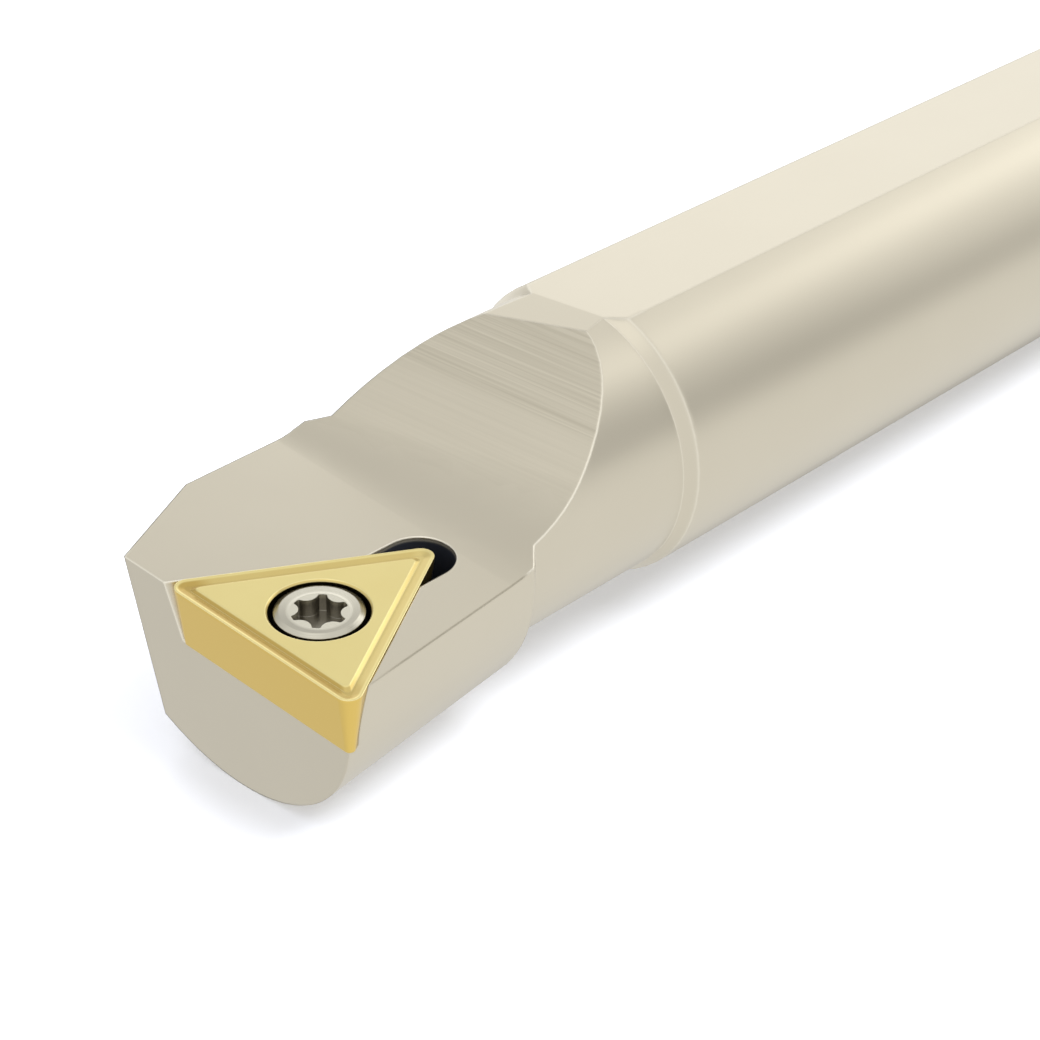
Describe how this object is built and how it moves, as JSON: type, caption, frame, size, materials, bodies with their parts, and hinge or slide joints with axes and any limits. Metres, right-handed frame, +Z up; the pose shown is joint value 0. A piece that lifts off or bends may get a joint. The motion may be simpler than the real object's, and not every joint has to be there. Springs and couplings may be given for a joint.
{
  "type": "boring bar",
  "caption": "Round-shank steel boring bar with a three-sided gold-coated insert held by a countersunk screw.",
  "frame": {"origin": "centre of the rear end face, on the axis of the shank", "axes": "+X along the bar to the cutting head, +Y to the cutting nose, +Z up, away from the face that the top clamping flat is parallel to"},
  "size_m": [0.2, 0.023, 0.0221],
  "materials": {
    "bar_steel": "satin nickel plate on machined steel",
    "insert_coating": "satin gold-coloured nitride coating on carbide",
    "screw_steel": "fine turned steel"
  },
  "bodies": {
    "root": {"bar_body": "bar_steel", "cutting_insert": "insert_coating", "clamp_screw": "screw_steel"}
  },
  "joints": []
}
